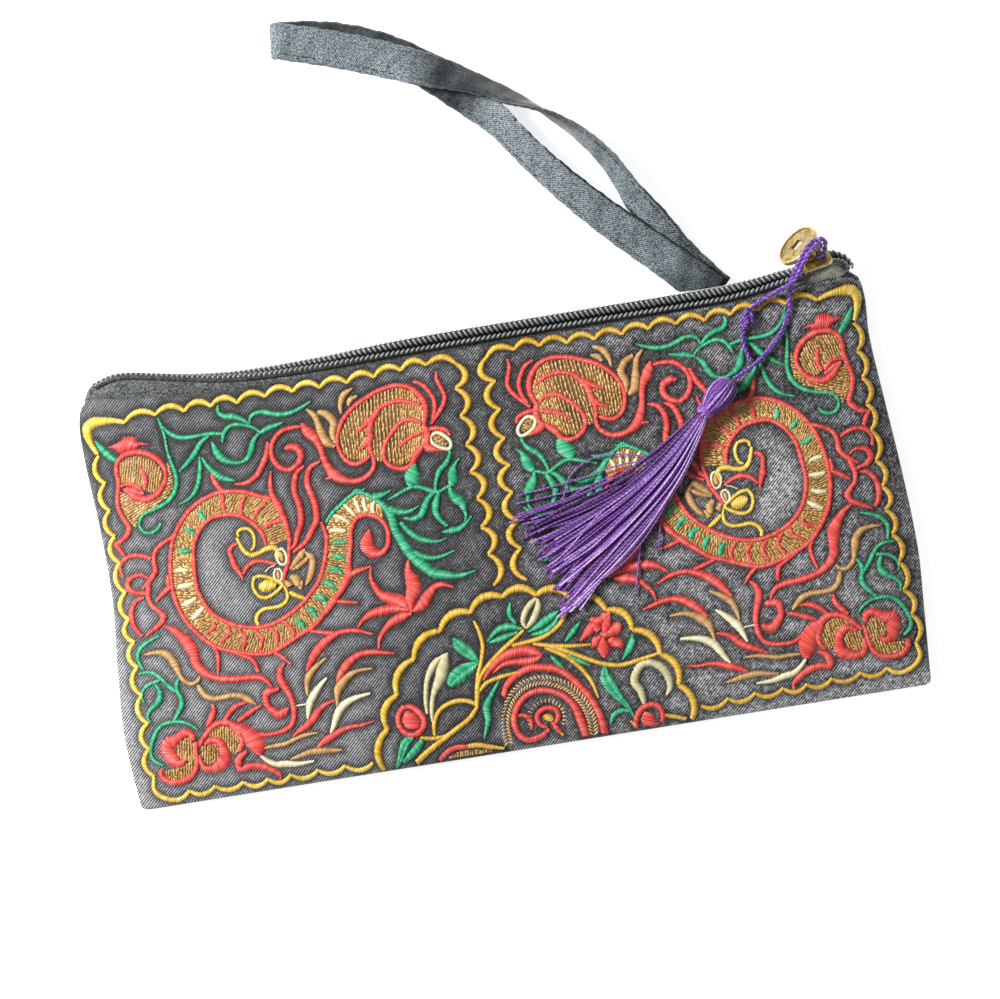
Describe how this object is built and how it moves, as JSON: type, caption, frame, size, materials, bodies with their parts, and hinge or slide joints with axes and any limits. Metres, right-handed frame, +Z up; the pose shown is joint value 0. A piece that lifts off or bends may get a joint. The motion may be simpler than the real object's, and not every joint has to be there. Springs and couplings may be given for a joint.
{
  "type": "embroidered bag",
  "caption": "Flat embroidered cloth zip pouch lying on its back, with a coil zip, a coin pull, a purple tassel on a hitched cord and a wrist strap.",
  "frame": {"origin": "the middle of the back, on the flat face that the pouch lies on", "axes": "+X along the zip towards the slider, +Y from the bottom seam towards the zip, +Z up through the embroidered front"},
  "size_m": [0.2305, 0.2153, 0.0176],
  "materials": {
    "black_satin": "black satin twill with a fine diagonal line and a slight sheen",
    "zip_tape": "woven polyester zip tape, matt black",
    "zip_nylon": "black nylon coil with a soft gloss",
    "antique_brass": "antique brass, darkened in the hollows and rubbed bright on the edges",
    "violet_cord": "twisted violet cord with a silky sheen",
    "tassel_thread": "loose violet silk-like thread",
    "strap_satin": "folded grey-black satin band, stitched along one edge"
  },
  "bodies": {
    "root": {"front_panel": "black_satin", "back_panel": "black_satin", "zip_tape_front": "zip_tape", "zip_tape_back": "zip_tape", "zip_coil_front": "zip_nylon", "zip_coil_back": "zip_nylon", "slider": "antique_brass", "coin_pull": "antique_brass", "cord_hitch": "violet_cord", "tassel_cord_strand": "violet_cord", "tassel_cord_loop": "violet_cord", "tassel_cord_tail": "violet_cord", "cord_knot": "violet_cord", "tassel_head": "tassel_thread", "tassel_skirt": "tassel_thread", "wrist_strap": "strap_satin"}
  },
  "joints": []
}
